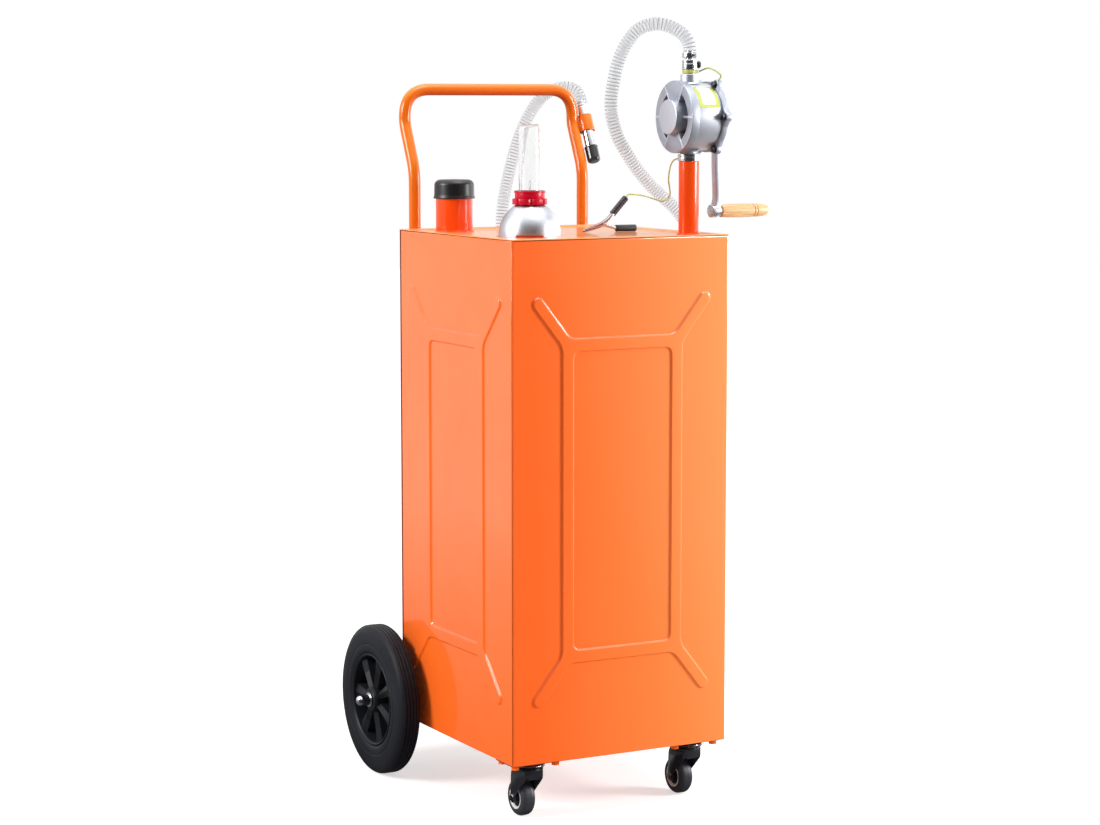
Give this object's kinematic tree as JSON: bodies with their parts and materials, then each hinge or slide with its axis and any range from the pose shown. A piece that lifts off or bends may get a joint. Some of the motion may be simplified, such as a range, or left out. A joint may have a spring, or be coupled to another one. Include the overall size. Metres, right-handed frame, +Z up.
{
  "type": "fuel caddy",
  "caption": "Wheeled upright fuel caddy: pressed steel tank with hand crank pump, ribbed hose and nozzle, float gauge, screw filler cap, ground clamp and bent tube push handle.",
  "frame": {"origin": "on the floor, in the middle of what the caddy covers", "axes": "+Z up, the front wall faces -Y, the pump's crank stands out to +X"},
  "size_m": [0.5786, 0.569, 1.2736],
  "materials": {
    "orange_powder_coat": "satin powder coat",
    "cast_aluminium": "sand cast, satin",
    "bright_steel": "bright zinc plated",
    "chrome_plate": "polished",
    "black_plastic": "moulded, matt",
    "black_painted_steel": "satin black",
    "tyre_rubber": "matt",
    "black_rubber": "matt",
    "red_plastic": "gloss",
    "clear_plastic": "clear, gloss",
    "pale_wood": "clear lacquer",
    "white_plastic": "moulded",
    "earth_wire_sheath": "clear sheath over braid"
  },
  "bodies": {
    "caddy_frame": {"tank_front": "orange_powder_coat", "tank_back": "orange_powder_coat", "tank_left": "orange_powder_coat", "tank_right": "orange_powder_coat", "tank_top": "orange_powder_coat", "tank_bottom": "orange_powder_coat", "filler_neck": "orange_powder_coat", "gauge_dome": "chrome_plate", "gauge_nut": "red_plastic", "gauge_tube": "clear_plastic", "pump_post": "orange_powder_coat", "dip_tube": "bright_steel", "foot_strainer": "white_plastic", "pump_union": "bright_steel", "pump_body": "cast_aluminium", "pump_front_cover": "cast_aluminium", "pump_rear_cover": "cast_aluminium", "outlet_fitting": "bright_steel", "hose": "clear_plastic", "nozzle": "chrome_plate", "nozzle_clip": "orange_powder_coat", "handle": "orange_powder_coat", "handle_strap_left": "orange_powder_coat", "handle_strap_right": "orange_powder_coat", "rear_axle": "bright_steel", "axle_channel": "orange_powder_coat", "left_wheel_axle_nut": "chrome_plate", "right_wheel_axle_nut": "chrome_plate", "left_caster_plate": "black_painted_steel", "right_caster_plate": "black_painted_steel", "ground_wire": "earth_wire_sheath", "bond_wire": "earth_wire_sheath", "clamp_lower": "bright_steel", "clamp_lower_sleeve": "black_rubber"},
    "crank": {"crank_arm": "cast_aluminium", "crank_nut": "bright_steel", "pump_shaft": "bright_steel", "pump_rotor": "bright_steel", "pump_vane_1": "black_plastic", "pump_vane_2": "black_plastic", "pump_vane_3": "black_plastic"},
    "grip": {"crank_grip": "pale_wood"},
    "cap_seal": {"cap_gasket": "black_rubber"},
    "cap": {"filler_cap": "black_plastic"},
    "gauge_float": {"level_float": "white_plastic", "float_rod": "bright_steel"},
    "knob": {"outlet_knob": "black_plastic"},
    "dust_cap": {"nozzle_dust_cap": "black_rubber"},
    "clamp_jaw": {"clamp_upper": "bright_steel", "clamp_upper_sleeve": "black_rubber"},
    "left_wheel": {"left_wheel_tyre": "tyre_rubber", "left_wheel_hub": "black_plastic"},
    "right_wheel": {"right_wheel_tyre": "tyre_rubber", "right_wheel_hub": "black_plastic"},
    "left_fork": {"left_caster_fork": "black_painted_steel"},
    "left_caster_wheel": {"left_caster_tyre": "tyre_rubber", "left_caster_hub": "white_plastic"},
    "right_fork": {"right_caster_fork": "black_painted_steel"},
    "right_caster_wheel": {"right_caster_tyre": "tyre_rubber", "right_caster_hub": "white_plastic"}
  },
  "joints": [
    {"name": "crank_spin", "type": "hinge", "parent": "caddy_frame", "child": "crank", "pos_m": [0.1896, -0.217, 1.1142], "axis": [1, 0, 0], "continuous": true},
    {"name": "grip_spin", "type": "hinge", "parent": "crank", "child": "grip", "pos_m": [0.24295, -0.217, 0.9625], "axis": [1, 0, 0], "continuous": true},
    {"name": "cap_lift", "type": "slide", "parent": "caddy_frame", "child": "cap_seal", "axis": [0, 0, 1], "range_m": [0, 0.0251]},
    {"name": "cap_turn", "type": "hinge", "parent": "cap_seal", "child": "cap", "pos_m": [-0.1438, 0.068, 0.9275], "axis": [0, 0, 1], "range_deg": [0, 1800]},
    {"name": "float_lift", "type": "slide", "parent": "caddy_frame", "child": "gauge_float", "axis": [0, 0, 1], "range_m": [0, 0.085]},
    {"name": "knob_turn", "type": "hinge", "parent": "caddy_frame", "child": "knob", "pos_m": [0.1372, -0.217, 1.1975], "axis": [1, 0, 0], "range_deg": [0, 360]},
    {"name": "dust_cap_pull", "type": "slide", "parent": "caddy_frame", "child": "dust_cap", "axis": [0, -0.4226, -0.9063], "range_m": [0, 0.03]},
    {"name": "clamp_open", "type": "hinge", "parent": "caddy_frame", "child": "clamp_jaw", "pos_m": [0.0622, -0.072, 0.938], "axis": [0, 1, 0], "range_deg": [0, 30], "stiffness_Nm_per_rad": 0.3, "springref_deg": -11.46},
    {"name": "left_wheel_spin", "type": "hinge", "parent": "caddy_frame", "child": "left_wheel", "pos_m": [-0.2443, 0.1575, 0.127], "axis": [1, 0, 0], "continuous": true},
    {"name": "right_wheel_spin", "type": "hinge", "parent": "caddy_frame", "child": "right_wheel", "pos_m": [0.2167, 0.1575, 0.127], "axis": [1, 0, 0], "continuous": true},
    {"name": "left_caster_swivel", "type": "hinge", "parent": "caddy_frame", "child": "left_fork", "pos_m": [-0.1608, -0.2275, 0.08], "axis": [0, 0, 1], "continuous": true},
    {"name": "left_caster_roll", "type": "hinge", "parent": "left_fork", "child": "left_caster_wheel", "pos_m": [-0.1608, -0.202, 0.03], "axis": [1, 0, 0], "continuous": true},
    {"name": "right_caster_swivel", "type": "hinge", "parent": "caddy_frame", "child": "right_fork", "pos_m": [0.1332, -0.2275, 0.08], "axis": [0, 0, 1], "continuous": true},
    {"name": "right_caster_roll", "type": "hinge", "parent": "right_fork", "child": "right_caster_wheel", "pos_m": [0.1332, -0.202, 0.03], "axis": [1, 0, 0], "continuous": true}
  ],
  "couplings": [
    {"joint": "cap_lift", "follows": "cap_turn", "m_per_rad": 0.00079577}
  ]
}
